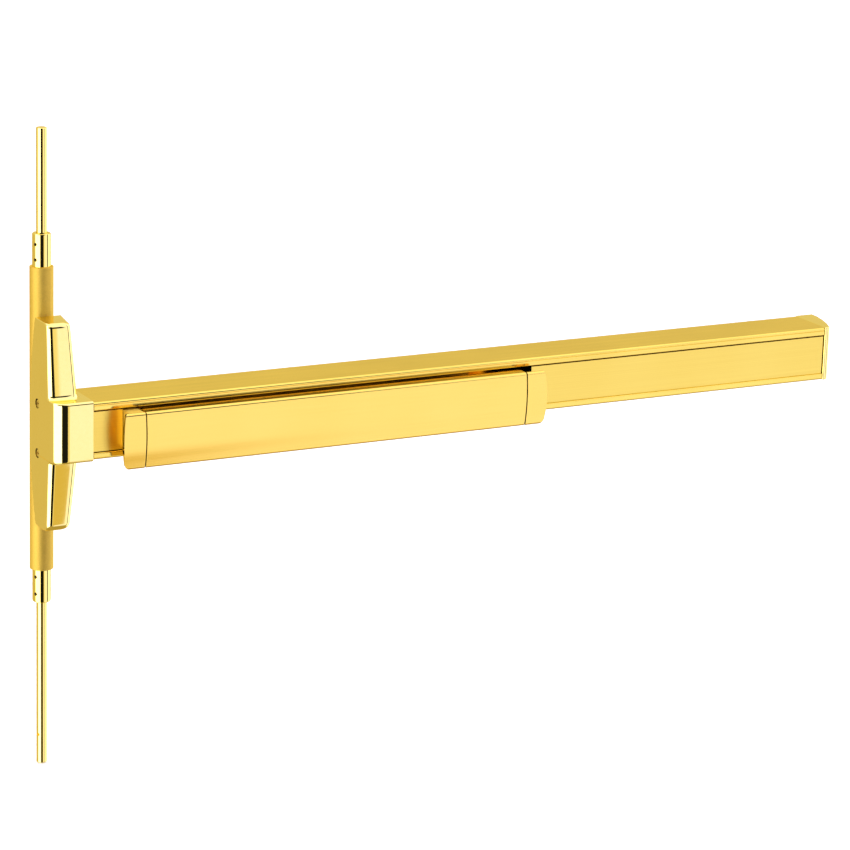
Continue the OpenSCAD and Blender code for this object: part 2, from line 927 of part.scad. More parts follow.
module upper_coupling_pins() {
    color(dark_steel) coupling_pins(upper_pin_zs);
}

module lower_slide() {
    color(steel) mirror([0, 0, 1]) rod_slide();
}

module lower_drive_screw() {
    color(dark_steel) mirror([0, 0, 1]) drive_screw();
}

module lower_coupling() {
    color(gold) mirror([0, 0, 1]) rod_coupling(coupling_bottom, -lower_pin_zs);
}

module lower_rod() {
    color(gold)
        mirror([0, 0, 1])
            rod(-lower_pin_zs[0] - 8, rod_bottom) {
                for (z = -lower_pin_zs) cross_hole(z, 1.75);
                cross_hole(rod_bottom - 28.8, 1.5);
            }
}

module lower_coupling_pins() {
    color(dark_steel) mirror([0, 0, 1]) coupling_pins(-lower_pin_zs);
}

case_cover();
case_chassis();
cover_side_screws();
lever_pivot_pins();
rod_housing();
housing_saddles();
saddle_screws();
channel();
mounting_rail();
left_filler_plate();
right_filler_plate();
mechanism_base();
base_screws();
crank_pivot_pins();
link_guides();
spring_guide_pin();
return_spring();
stop_bumpers();
end_bracket();
end_cap();
end_cap_screws();
pad_bar();
pad_cap_left();
pad_cap_right();
pad_bracket_left();
pad_bracket_right();
pad_bracket_screws();
crank_left();
crank_left_pins();
crank_right();
crank_right_pins();
link_bar();
link_clevis();
link_screws();
link_pin();
upper_lever();
upper_lever_pin();
lower_lever();
lower_lever_pin();
upper_slide();
upper_drive_screw();
upper_coupling();
upper_rod();
upper_coupling_pins();
lower_slide();
lower_drive_screw();
lower_coupling();
lower_rod();
lower_coupling_pins();
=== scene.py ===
import math

import bpy
from mathutils import Matrix, Vector


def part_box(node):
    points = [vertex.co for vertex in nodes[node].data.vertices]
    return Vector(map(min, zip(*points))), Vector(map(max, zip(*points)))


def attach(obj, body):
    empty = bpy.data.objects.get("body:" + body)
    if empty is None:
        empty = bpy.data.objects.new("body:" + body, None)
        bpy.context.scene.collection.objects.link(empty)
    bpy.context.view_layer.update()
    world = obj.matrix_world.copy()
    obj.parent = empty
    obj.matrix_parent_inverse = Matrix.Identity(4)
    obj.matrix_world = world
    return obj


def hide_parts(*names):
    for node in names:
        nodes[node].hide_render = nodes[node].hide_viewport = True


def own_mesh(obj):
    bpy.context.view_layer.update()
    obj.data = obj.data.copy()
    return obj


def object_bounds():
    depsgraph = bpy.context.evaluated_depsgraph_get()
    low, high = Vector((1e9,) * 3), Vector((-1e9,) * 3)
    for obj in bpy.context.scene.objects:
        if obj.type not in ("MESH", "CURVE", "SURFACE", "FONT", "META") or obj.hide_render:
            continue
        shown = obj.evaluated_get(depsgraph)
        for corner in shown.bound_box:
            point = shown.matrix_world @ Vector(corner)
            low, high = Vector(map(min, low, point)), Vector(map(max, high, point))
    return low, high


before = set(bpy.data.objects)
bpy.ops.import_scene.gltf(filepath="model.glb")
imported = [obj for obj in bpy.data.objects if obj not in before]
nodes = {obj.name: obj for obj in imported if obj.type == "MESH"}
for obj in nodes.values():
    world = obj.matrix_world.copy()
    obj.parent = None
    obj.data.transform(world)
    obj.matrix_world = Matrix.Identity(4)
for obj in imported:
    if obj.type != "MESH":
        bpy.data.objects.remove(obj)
cad_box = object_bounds()
MM = 0.001

# ---------------------------------------------------------------- studio
# A long lens stands to the left of the bar and a little above it. The object
# hangs over a plain pale floor, with one dark flag beside the lens and soft
# white panels all round, which is how polished brass is lit.
camera_data = bpy.data.cameras.new("studio_lens")
camera_data.lens = 147.64
camera_data.sensor_width = 36
camera_data.clip_start = 0.1
camera_data.clip_end = 60
camera = bpy.data.objects.new("studio_camera", camera_data)
bpy.context.scene.collection.objects.link(camera)
bpy.context.scene.camera = camera
yaw, pitch, roll = (math.radians(a) for a in (28.154, 15.268, 1.698))
ahead = Vector((math.sin(yaw) * math.cos(pitch), math.cos(yaw) * math.cos(pitch), -math.sin(pitch)))
level = Vector((math.cos(yaw), -math.sin(yaw), 0))
upright = level.cross(ahead)
right = level * math.cos(roll) + upright * math.sin(roll)
up = upright * math.cos(roll) - level * math.sin(roll)
camera.matrix_world = Matrix((
    (right.x, up.x, -ahead.x, -1.1720),
    (right.y, up.y, -ahead.y, -2.9389),
    (right.z, up.z, -ahead.z, 0.8636),
    (0, 0, 0, 1),
))
bpy.context.scene.view_settings.view_transform = "Standard"

world = bpy.data.worlds.new("soft_studio")
bpy.context.scene.world = world
world.use_nodes = True
tree = world.node_tree
tree.nodes.clear()


def world_node(kind, **values):
    made = tree.nodes.new(kind)
    for key, value in values.items():
        setattr(made, key, value)
    return made


def toward(azimuth, half_width, softness):
    """How far a view into the studio points to an upright panel, as 0 to 1."""
    flat = world_node("ShaderNodeVectorMath", operation="MULTIPLY")
    flat.inputs[1].default_value = (1, 1, 0)
    tree.links.new(place.outputs["Generated"], flat.inputs[0])
    unit = world_node("ShaderNodeVectorMath", operation="NORMALIZE")
    tree.links.new(flat.outputs[0], unit.inputs[0])
    along = world_node("ShaderNodeVectorMath", operation="DOT_PRODUCT")
    turn = math.radians(azimuth)
    along.inputs[1].default_value = (math.sin(turn), -math.cos(turn), 0)
    tree.links.new(unit.outputs[0], along.inputs[0])
    ramp = world_node("ShaderNodeMapRange", interpolation_type="SMOOTHSTEP")
    ramp.inputs["From Min"].default_value = math.cos(math.radians(half_width + softness))
    ramp.inputs["From Max"].default_value = math.cos(math.radians(half_width - softness))
    tree.links.new(along.outputs["Value"], ramp.inputs["Value"])
    return ramp.outputs["Result"]


def height(low, high):
    """How high a view into the studio points, as 0 to 1."""
    split = world_node("ShaderNodeSeparateXYZ")
    tree.links.new(place.outputs["Generated"], split.inputs[0])
    ramp = world_node("ShaderNodeMapRange", interpolation_type="SMOOTHSTEP")
    ramp.inputs["From Min"].default_value = low
    ramp.inputs["From Max"].default_value = high
    tree.links.new(split.outputs["Z"], ramp.inputs["Value"])
    return ramp.outputs["Result"]


def between(factor, first, second):
    """The light between two others, each a colour or another mix."""
    mix = world_node("ShaderNodeMix", data_type="RGBA")
    tree.links.new(factor, mix.inputs["Factor"])
    for socket, value in ((mix.inputs["A"], first), (mix.inputs["B"], second)):
        if isinstance(value, tuple):
            socket.default_value = (*value, 1)
        else:
            tree.links.new(value, socket)
    return mix.outputs["Result"]


place = world_node("ShaderNodeTexCoord")
panel, ceiling, dark_flag = (1.15, 1.15, 1.45), (1.35, 1.35, 1.55), (0.012, 0.012, 0.012)
warm_wall, pale_wall = (0.70, 0.58, 0.29), (0.78, 0.70, 0.44)
warm_floor, low_floor, gold_card = (0.74, 0.56, 0.18), (0.46, 0.35, 0.12), (1.0, 0.88, 0.58)
# front panel, with a warm patch of floor under it and the warm wall behind
room = between(height(-0.52, -0.40), warm_floor, panel)
room = between(toward(18, 9.4, 0.8), panel, room)
room = between(toward(180, 78, 8), room, between(height(-0.1, 0.15), warm_wall, pale_wall))
# side panels, the thin gaps beside and above the front panel, and the flag by the lens
room = between(toward(88, 32, 4), room, (1.7, 1.7, 2.0))
room = between(toward(-66, 33, 4), room, (3.1, 3.1, 3.3))
room = between(toward(60, 7, 1.5), room, dark_flag)
room = between(toward(11, 5, 3), room, gold_card)
gap = between(height(0.12, 0.15), room, dark_flag)
gap = between(height(0.56, 0.62), gap, room)
room = between(toward(-19.5, 49, 1.5), room, gap)
room = between(toward(-16, 22, 1), room, dark_flag)
room = between(height(-0.86, -0.72), low_floor, room)
room = between(height(0.62, 0.80), room, ceiling)
path = world_node("ShaderNodeLightPath")
seen = between(path.outputs["Is Camera Ray"], room, (1.0, 1.0, 1.0))
glow = world_node("ShaderNodeBackground")
tree.links.new(seen, glow.inputs["Color"])
tree.links.new(glow.outputs[0], world_node("ShaderNodeOutputWorld").inputs["Surface"])

bpy.ops.object.select_all(action="DESELECT")
bpy.ops.mesh.primitive_plane_add(size=40, location=(0, 0, cad_box[0].z - 0.001))
floor = bpy.context.object
floor.name = "studio_floor"
floor.visible_glossy = False
pale = bpy.data.materials.new("pale_floor")
pale.use_nodes = True
pale_shader = pale.node_tree.nodes["Principled BSDF"]
pale_shader.inputs["Base Color"].default_value = (0.86, 0.86, 0.86, 1)
pale_shader.inputs["Roughness"].default_value = 0.9
pale_shader.inputs["Emission Color"].default_value = (1, 1, 1, 1)
pale_shader.inputs["Emission Strength"].default_value = 0.35
floor.data.materials.append(pale)

# ---------------------------------------------------------------- case cover
# The tapered brass cover of the centre case, cast in one with the stubby arm
# that carries the bar. It is polished all over, its front edges are rounded,
# and two screws through its left side hold it to the chassis.


def grain_group():
    """Fine lines along one direction, with slow drifts of tone: Shade and Height."""
    group = bpy.data.node_groups.new("metal_grain", "ShaderNodeTree")
    for name, kind in (("Stretch", "NodeSocketVector"), ("Fineness", "NodeSocketFloat"),
                       ("Drift", "NodeSocketFloat")):
        group.interface.new_socket(name, in_out="INPUT", socket_type=kind)
    for name in ("Shade", "Height", "Cloud"):
        group.interface.new_socket(name, in_out="OUTPUT", socket_type="NodeSocketFloat")
    inside = group.nodes
    given = inside.new("NodeGroupInput")
    put = inside.new("NodeGroupOutput")
    coords = inside.new("ShaderNodeTexCoord")
    stretched = inside.new("ShaderNodeVectorMath")
    stretched.operation = "MULTIPLY"
    group.links.new(coords.outputs["Object"], stretched.inputs[0])
    group.links.new(given.outputs["Stretch"], stretched.inputs[1])
    lines = inside.new("ShaderNodeTexNoise")
    lines.inputs["Detail"].default_value = 3
    lines.inputs["Roughness"].default_value = 0.65
    group.links.new(stretched.outputs[0], lines.inputs["Vector"])
    group.links.new(given.outputs["Fineness"], lines.inputs["Scale"])
    cloud = inside.new("ShaderNodeTexNoise")
    cloud.inputs["Detail"].default_value = 1.5
    group.links.new(coords.outputs["Object"], cloud.inputs["Vector"])
    group.links.new(given.outputs["Drift"], cloud.inputs["Scale"])
    group.links.new(lines.outputs["Fac"], put.inputs["Shade"])
    group.links.new(lines.outputs["Fac"], put.inputs["Height"])
    group.links.new(cloud.outputs["Fac"], put.inputs["Cloud"])
    return group


metal_grain = grain_group()


def metal(name, light, dark, roughness, stretch, fineness, relief, drift=14.0, metallic=1.0):
    """A metal finish: two tones along its grain, a range of roughness and a shallow relief."""
    made = bpy.data.materials.new(name)
    made.use_nodes = True
    inside = made.node_tree.nodes
    links = made.node_tree.links
    shader = inside["Principled BSDF"]
    shader.inputs["Metallic"].default_value = metallic
    shader.inputs["Specular Tint"].default_value = (1.0, 0.93, 0.66, 1)
    grain = inside.new("ShaderNodeGroup")
    grain.node_tree = metal_grain
    grain.inputs["Stretch"].default_value = stretch
    grain.inputs["Fineness"].default_value = fineness
    grain.inputs["Drift"].default_value = drift
    both = inside.new("ShaderNodeMath")
    both.operation = "MULTIPLY_ADD"
    both.inputs[1].default_value = 0.6
    links.new(grain.outputs["Shade"], both.inputs[0])
    half = inside.new("ShaderNodeMath")
    half.operation = "MULTIPLY"
    half.inputs[1].default_value = 0.4
    links.new(grain.outputs["Cloud"], half.inputs[0])
    links.new(half.outputs[0], both.inputs[2])
    spread = inside.new("ShaderNodeMapRange")
    spread.inputs["From Min"].default_value = 0.32
    spread.inputs["From Max"].default_value = 0.68
    links.new(both.outputs[0], spread.inputs["Value"])
    tone = inside.new("ShaderNodeMix")
    tone.data_type = "RGBA"
    tone.inputs["A"].default_value = (*dark, 1)
    tone.inputs["B"].default_value = (*light, 1)
    links.new(spread.outputs["Result"], tone.inputs["Factor"])
    links.new(tone.outputs["Result"], shader.inputs["Base Color"])
    rough = inside.new("ShaderNodeMapRange")
    rough.inputs["To Min"].default_value = roughness[0]
    rough.inputs["To Max"].default_value = roughness[1]
    links.new(both.outputs[0], rough.inputs["Value"])
    links.new(rough.outputs["Result"], shader.inputs["Roughness"])
    bump = inside.new("ShaderNodeBump")
    bump.inputs["Strength"].default_value = relief
    bump.inputs["Distance"].default_value = 0.00005
    links.new(grain.outputs["Height"], bump.inputs["Height"])
    links.new(bump.outputs["Normal"], shader.inputs["Normal"])
    return made


polished = metal("polished_brass", (1.0, 0.83, 0.30), (0.98, 0.80, 0.26), (0.03, 0.08),
                 (1, 1, 1), 260, 0.06)


def finish(piece, material, body, slot, *stood_for):
    """Puts a finished piece on its body, with its material, in place of its CAD nodes."""
    piece.data.materials.clear()
    piece.data.materials.append(material)
    bpy.ops.object.select_all(action="DESELECT")
    piece.select_set(True)
    bpy.context.view_layer.objects.active = piece
    bpy.ops.object.transform_apply(location=True, rotation=True, scale=True)
    bpy.ops.object.shade_smooth_by_angle(angle=math.radians(32))
    shape(piece, "WEIGHTED_NORMAL", keep_sharp=True)
    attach(piece, body)
    if stood_for:
        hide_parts(*stood_for)
    return piece


def shape(piece, kind, **values):
    """Adds a modifier with its values and applies it."""
    made = piece.modifiers.new(kind.lower(), kind)
    for key, value in values.items():
        setattr(made, key, value)
    bpy.context.view_layer.objects.active = piece
    bpy.ops.object.modifier_apply(modifier=made.name)


def cut(piece, cutter, operation="DIFFERENCE", solver="EXACT"):
    """Cuts, joins or keeps a piece by another mesh, which goes away."""
    shape(piece, "BOOLEAN", object=cutter, operation=operation, solver=solver)
    bpy.data.objects.remove(cutter)


def drill(piece, axis, centre, radius, length, solver="EXACT"):
    """Drills a round hole about a centre along an axis, all in millimetres."""
    turn = {"X": (0, math.pi / 2, 0), "Y": (math.pi / 2, 0, 0), "Z": (0, 0, 0)}[axis]
    bpy.ops.object.select_all(action="DESELECT")
    bpy.ops.mesh.primitive_cylinder_add(vertices=40, radius=radius * MM, depth=length * MM,
                                        location=[c * MM for c in centre], rotation=turn)
    cut(piece, bpy.context.object, solver=solver)


def arc(cx, cy, r, start, end, steps):
    """Points of an arc between two angles in degrees."""
    return [(cx + r * math.cos(math.radians(start + (end - start) * i / steps)),
             cy + r * math.sin(math.radians(start + (end - start) * i / steps)))
            for i in range(steps + 1)]


CASE_TOP, CASE_BOTTOM, ARM_HALF = 99.0, 102.0, 29.0
CROWN_STEPS = (0.12, 0.3, 0.5, 0.7, 0.88)


def case_ring(z, out=0.0, round_front=0.0, round_left=0.0, round_right=0.0):
    """Plan of the tapered case at one height: back edge, two front corners, back edge."""
    taper = max(0.0, (abs(z) - ARM_HALF) / 70)
    left = -15 + 3 * taper + round_left
    right_side = 15 - 3 * taper + out - round_right
    front = 42 - 12 * taper + out - round_front
    back = 6 * (1 - (abs(z) / 102) ** 2.4)
    r = 7.2 - 1.4 * taper
    flat = right_side - left - 2 * r
    swell = 0.3 if z > 0 else 0.04
    crowned = [(left + r + flat * t, -front - swell * t * (1 - t) * 4) for t in CROWN_STEPS]
    return ([(left, back)]
            + arc(left + r, -front + r, r, 180, 270, 12)
            + crowned
            + arc(right_side - r, -front + r, r, 270, 360, 12)
            + [(right_side + 3 * taper + 0.5 * round_right, max(0.0, back))])


def arm_ring(inset):
    """Plan of the arm: a large round corner on the left, square to the bar on the right."""
    r = 15 - inset
    return ([(-15, 6.0)]
            + arc(-15 + r + inset * 0.15, -57 + inset + r, r, 180, 270, 12)
            + [(0.2 + 22.6 * t, -57 + inset) for t in CROWN_STEPS]
            + arc(23.4 - 0.5, -57 + inset + 0.5, 0.5, 270, 360, 12)
            + [(23.4, 0.0)])


rings = []
for i in range(9):
    turn = math.radians(90 - 90 * i / 8)
    rings.append((-CASE_BOTTOM + 8 - 8 * math.sin(turn),
                  case_ring(-CASE_BOTTOM + 8 - 8 * math.sin(turn),
                            round_front=8 * (1 - math.cos(turn)),
                            round_left=1.6 * (1 - math.cos(turn)) ** 2,
                            round_right=4 * (1 - math.cos(turn)))))
for z in (-85, -70, -52, -38):
    rings.append((z, case_ring(z)))
for i in range(7):
    turn = math.radians(90 - 90 * i / 6)
    z = -ARM_HALF - 4 + 4 * math.cos(turn)
    rings.append((z, case_ring(z, out=4 * (1 - math.sin(turn)))))
for i in range(7):
    turn = math.radians(90 * i / 6)
    rings.append((-ARM_HALF + 3 * (1 - math.cos(turn)), arm_ring(3 * (1 - math.sin(turn)))))
for i in range(7):
    turn = math.radians(90 - 90 * i / 6)
    rings.append((ARM_HALF - 3 * (1 - math.cos(turn)), arm_ring(3 * (1 - math.sin(turn)))))
for i in range(7):
    turn = math.radians(90 * i / 6)
    z = ARM_HALF + 4 - 4 * math.cos(turn)
    rings.append((z, case_ring(z, out=4 * (1 - math.sin(turn)))))
for z in (38, 52, 70, 85):
    rings.append((z, case_ring(z)))
for i in range(9):
    turn = math.radians(90 * i / 8)
    z = CASE_TOP - 4.5 + 4.5 * math.sin(turn)
    rings.append((z, case_ring(z, round_front=4.5 * (1 - math.cos(turn)),
                               round_left=0.8 * (1 - math.cos(turn)) ** 2,
                               round_right=3.5 * (1 - math.cos(turn)))))

around = len(rings[0][1])
bpy.ops.object.select_all(action="DESELECT")
bpy.ops.mesh.primitive_grid_add(x_subdivisions=around - 1, y_subdivisions=len(rings) - 1, size=1)
cover = bpy.context.object
cover.name = "case_cover_shell"
order = sorted(cover.data.vertices, key=lambda v: (round(v.co.y, 4), round(v.co.x, 4)))
for index, vertex in enumerate(order):
    z, plan = rings[index // around]
    x, y = plan[index % around]
    vertex.co = (x * MM, y * MM, z * MM)
for z_end in (CASE_TOP, -CASE_BOTTOM):
    bpy.ops.object.mode_set(mode="EDIT")
    bpy.ops.mesh.select_mode(type="VERT")
    bpy.ops.mesh.select_all(action="DESELECT")
    bpy.ops.object.mode_set(mode="OBJECT")
    for vertex in cover.data.vertices:
        vertex.select = abs(vertex.co.z - z_end * MM) < 1e-5
    bpy.ops.object.mode_set(mode="EDIT")
    bpy.ops.mesh.edge_face_add()
    bpy.ops.mesh.select_all(action="SELECT")
    bpy.ops.mesh.normals_make_consistent(inside=False)
    bpy.ops.object.mode_set(mode="OBJECT")
shape(cover, "SOLIDIFY", thickness=1.6 * MM, offset=-1)
for z in (20, -28):
    drill(cover, "X", (-15, -12.7, z), 4.7, 8, solver="MANIFOLD")
# the arm is open to the bar, so the link can pass
bpy.ops.object.select_all(action="DESELECT")
bpy.ops.mesh.primitive_cube_add(size=1, location=(0.0225, -0.027, 0), scale=(0.006, 0.054, 0.051))
cut(cover, bpy.context.object, solver="MANIFOLD")
finish(cover, polished, "frame", "polished_gold", "case_cover")

# ---------------------------------------------------------------- side screws
# Two countersunk brass screws with cross recesses, sunk in the holes in the
# cover's left side. They are turned from bar and only lightly polished.
screw_brass = metal("screw_brass", (1.0, 0.80, 0.30), (0.80, 0.60, 0.18), (0.08, 0.18),
                    (1, 1, 1), 900, 0.2)


def plain(node, material):
    """Gives a carried-over CAD node its finish."""
    nodes[node].data.materials.clear()
    nodes[node].data.materials.append(material)


plain("cover_side_screws", screw_brass)

# ---------------------------------------------------------------- bar channel
# The bar is a brass-plated aluminium extrusion, open to the front between two
# lips. Its grain runs lengthwise, a fine groove follows its upper lip, and its
# outer corners are rounded and polished.
drawn_brass = metal("drawn_brass", (1.0, 0.74, 0.15), (0.84, 0.61, 0.11), (0.10, 0.18),
                    (0.12, 30, 30), 22, 0.12)


def drawn_bar(name, outline, x0, x1):
    """Draws a section point by point as (Y, Z), fills it and pulls it out along X."""
    bpy.ops.object.select_all(action="DESELECT")
    bpy.ops.mesh.primitive_plane_add(size=0.001, location=(0, 0, 0))
    piece = bpy.context.object
    piece.name = name
    bpy.ops.object.mode_set(mode="EDIT")
    bpy.ops.mesh.select_mode(type="VERT")
    bpy.ops.mesh.select_all(action="SELECT")
    bpy.ops.mesh.merge(type="CENTER")
    start = Vector((x0, *outline[0])) * MM
    bpy.ops.transform.translate(value=start)
    for near, far in zip(outline, outline[1:]):
        step = Vector((0, far[0] - near[0], far[1] - near[1])) * MM
        bpy.ops.mesh.extrude_vertices_move(TRANSFORM_OT_translate={"value": step})
    bpy.ops.mesh.select_all(action="SELECT")
    bpy.ops.mesh.edge_face_add()
    bpy.ops.mesh.select_all(action="SELECT")
    bpy.ops.mesh.extrude_region_move(
        TRANSFORM_OT_translate={"value": ((x1 - x0) * MM, 0, 0)})
    bpy.ops.mesh.select_all(action="SELECT")
    bpy.ops.mesh.normals_make_consistent(inside=False)
    bpy.ops.object.mode_set(mode="OBJECT")
    return piece


channel_outline = (
    [(-2, -27.5), (-2, 27.5)]
    + arc(-53.5, 25, 2.5, 90, 180, 7)
    + [(-56, 24.9), (-55.5, 24.6), (-55.5, 24.4), (-56, 24.1)]
    + arc(-55, 20.5, 1, 180, 270, 4)
    + [(-54, 19.5), (-54, 25.5), (-4, 25.5), (-4, -25.5), (-54, -25.5), (-54, -21)]
    + arc(-55, -22, 1, 90, 180, 4)
    + arc(-53.5, -25, 2.5, 180, 270, 7)
)
channel = drawn_bar("bar_channel", channel_outline, 24.1, 833.6)
finish(channel, drawn_brass, "frame", "satin_gold", "channel")

# ---------------------------------------------------------------- filler plates
# Two flat brass strips slide in behind the lips and close the bar at each
# end of the pad. They are brushed lengthwise and left with that grain.
brushed = metal("brushed_brass", (1.0, 0.75, 0.155), (0.93, 0.67, 0.12), (0.26, 0.36),
                (0.10, 34, 34), 40, 0.5)
# painted shade: a near-black material for the shaded gaps along the lips and between pad and caps
painted_shade_black = metal("painted_shade_black", (0.05, 0.04, 0.02), (0.03, 0.025, 0.015), (0.5, 0.7),
                    (1, 1, 1), 500, 0.2)


def back_of(piece, material, y):
    """Gives what lies behind one depth of a piece a second material: painted near-black shade on
    the filler strips, a rougher cast finish on the pad caps.
    """
    piece.data.materials.append(material)
    for face in piece.data.polygons:
        if face.center.y > y * MM:
            face.material_index = 1


for node, name, left_more, right_more in (("left_filler_plate", "left_plate", 0, 2),
                                          ("right_filler_plate", "right_plate", 2, 0)):
    low, high = (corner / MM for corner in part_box(node))
    # a rebate along the top edge, and on the left strip along the bottom one too
    foot = -20.4 if right_more else low.z
    strip = drawn_bar(name, [(high.y, low.z), (high.y, high.z), (low.y + 1.3, high.z),
                             (low.y + 1.3, 18.1), (low.y + 0.15, 18.1), (low.y, 17.95),
                             (low.y, foot + 0.15), (low.y + 0.15, foot), (low.y + 1.3, foot),
                             (low.y + 1.3, low.z)][:10 if right_more else 8],
                      low.x - left_more, high.x + right_more)
    finish(strip, brushed, "frame", "brushed_gold", node)
    # the rebates and back of each strip are painted near-black, as painted shade for the dark gap
    # under the lips
    back_of(strip, painted_shade_black, low.y + 0.3)

# ---------------------------------------------------------------- push pad
# The pad is a crowned extrusion with a rolled top flange that runs back into
# the channel. Its face is satin, its corners are polished bright, and a cast
# cap with a bowed outer edge closes each end.
pad_satin = metal("pad_brass", (1.0, 0.70, 0.15), (0.95, 0.655, 0.125), (0.10, 0.16),
                  (0.25, 26, 26), 60, 0.25)
cast_back = metal("cast_back_brass", (1.0, 0.74, 0.15), (0.92, 0.64, 0.11), (0.60, 0.75),
                  (1, 1, 1), 600, 0.6)
PAD_LEFT, PAD_RIGHT, CAP = 46.5, 496.0, 22.5


def crown(z):
    """Depth of the crowned face at one height."""
    return -75 + 140 - math.sqrt(140 ** 2 - (z + 6) ** 2)


low_y, top_y = crown(-33), crown(15)
pad_front = [point for point in
             arc(low_y + 3, -33, 3, 270, 180, 9)
             + [(crown(-33 + 48 * i / 20), -33 + 48 * i / 20) for i in range(1, 20)]
             + arc(top_y + 3, 15, 3, 180, 90, 9) if point[0] < -70.6]
pad_outline = pad_front + [(-70.3, 18), (-47, 18), (-47, 15.5), (-70.5, 15.5), (-70.5, -35.8)]
pad = drawn_bar("push_pad_face", pad_outline, PAD_LEFT + CAP + 0.7, PAD_RIGHT - CAP - 0.7)
shape(pad, "BEVEL", width=0.6 * MM, segments=3, limit_method="ANGLE",
      angle_limit=math.radians(60))
finish(pad, pad_satin, "push_pad", "satin_gold", "pad_bar")

for side, node in ((1, "pad_cap_left"), (-1, "pad_cap_right")):
    outer = PAD_LEFT if side > 0 else PAD_RIGHT
    inner = outer + side * (CAP - 0.5)
    cap = drawn_bar(node.replace("pad_cap", "end_shell"),
                    pad_front + [(-70.4, 17.98), (-70.4, -35.9)],
                    min(outer, inner), max(outer, inner))
    bow = [(outer + side * (2.4 * ((z + 9) / 27) ** 2), z) for z in
           (-31.5, -27, -21, -15, -9, -3, 3, 9, 14)]
    edge = ([(inner + side * 5, -38)] + [(outer + side * 8, -38), (outer + side * 8, -36)]
            + [(outer + side * 5.2, -35.6), (outer + side * 3.6, -34.4)] + bow
            + [(outer + side * 2.6, 16.8), (outer + side * 3.8, 18.0), (outer + side * 8, 19),
               (inner + side * 5, 19)])
    bpy.ops.object.select_all(action="DESELECT")
    bpy.ops.mesh.primitive_plane_add(size=0.001, location=(0, 0, 0))
    trim = bpy.context.object
    bpy.ops.object.mode_set(mode="EDIT")
    bpy.ops.mesh.merge(type="CENTER")
    bpy.ops.transform.translate(value=(edge[0][0] * MM, -0.080, edge[0][1] * MM))
    for near, far in zip(edge, edge[1:]):
        bpy.ops.mesh.extrude_vertices_move(TRANSFORM_OT_translate={
            "value": ((far[0] - near[0]) * MM, 0, (far[1] - near[1]) * MM)})
    bpy.ops.mesh.select_all(action="SELECT")
    bpy.ops.mesh.edge_face_add()
    bpy.ops.mesh.extrude_region_move(TRANSFORM_OT_translate={"value": (0, 0.040, 0)})
    bpy.ops.mesh.select_all(action="SELECT")
    bpy.ops.mesh.normals_make_consistent(inside=False)
    bpy.ops.object.mode_set(mode="OBJECT")
    cut(cap, trim, "INTERSECT")
    shape(cap, "BEVEL", width=0.7 * MM, segments=3, limit_method="ANGLE",
          angle_limit=math.radians(50))
    # skirt behind the front shell
    skirt_x = sorted((outer + side * 7.5, inner - side * 0.3))
    skirt = drawn_bar("skirt", [(-72, 17.5), (-47, 17.5), (-47, 15.2), (-72, 15.2)],
                      *skirt_x)
    cut(cap, skirt, "UNION")
    side_x = sorted((outer + side * 7.5, outer + side * 9.5))
    skirt = drawn_bar("skirt", [(-72, 16.5), (-47, 16.5), (-47, -18), (-72, -18)], *side_x)
    cut(cap, skirt, "UNION")
    finish(cap, pad_satin, "push_pad", "satin_gold", node)
    back_of(cap, cast_back, -70.2)
    # the step that locates the cap in the end of the pad, coloured near-black as painted shade for
    # the gap between pad and cap
    step_x = sorted((inner - side * 0.1, inner + side * 1.15))
    step = drawn_bar(node.replace("pad_cap", "shade_painted_step"),
                     [(crown(z) + 2.0, z) for z in (-34.0, -28, -20, -12, -4, 4, 10, 16.2)]
                     + [(top_y + 2.6, 17.3), (-70.6, 17.3), (-70.6, -35.3), (low_y + 2.6, -35.3)],
                     *step_x)
    finish(step, painted_shade_black, "push_pad", "satin_gold")

# ---------------------------------------------------------------- end cap
# A die-cast brass cap closes the right end of the bar. It is flush with the
# channel's front, slopes back to a rounded outer edge and stands a hair proud
# of the channel. Its two screws are reached through holes in the slope.
plan = ([(834.6, 0), (855, 0)]
        + arc(843, -9.5, 12, 0, -19, 6)
        + [(854.35 - 12.9 * t + 6 * t * (1 - t), -13.4 - 39.6 * t) for t in (0.2, 0.4, 0.6, 0.8)]
        + arc(837.0, -51.2, 4.8, -22, -90, 10)
        + [(834.6, -56)])
bpy.ops.object.select_all(action="DESELECT")
bpy.ops.mesh.primitive_plane_add(size=0.001, location=(0, 0, 0))
end_cap = bpy.context.object
end_cap.name = "bar_end_cap"
bpy.ops.object.mode_set(mode="EDIT")
bpy.ops.mesh.merge(type="CENTER")
bpy.ops.transform.translate(value=(plan[0][0] * MM, plan[0][1] * MM, -27.9 * MM))
for near, far in zip(plan, plan[1:]):
    bpy.ops.mesh.extrude_vertices_move(TRANSFORM_OT_translate={
        "value": ((far[0] - near[0]) * MM, (far[1] - near[1]) * MM, 0)})
bpy.ops.mesh.select_all(action="SELECT")
bpy.ops.mesh.edge_face_add()
bpy.ops.mesh.extrude_region_move(TRANSFORM_OT_translate={"value": (0, 0, 55.8 * MM)})
bpy.ops.mesh.select_all(action="SELECT")
bpy.ops.mesh.normals_make_consistent(inside=False)
bpy.ops.object.mode_set(mode="OBJECT")
shape(end_cap, "BEVEL", width=1.2 * MM, segments=4, limit_method="ANGLE",
      angle_limit=math.radians(60))
for z in (-11, 11):
    drill(end_cap, "X", (850, -34, z), 1.9, 16)
finish(end_cap, polished, "frame", "polished_gold", "end_cap")
plain("end_cap_screws", screw_brass)

# ---------------------------------------------------------------- rods
# The vertical rods are polished brass-plated bar. A turned coupling screws on
# to each, locked by two cross pins, and slides in the end of the housing.
rod_brass = metal("rod_brass", (1.0, 0.82, 0.26), (0.96, 0.76, 0.21), (0.03, 0.07),
                  (20, 20, 1), 60, 0.05)
ROD_Y = 14.4


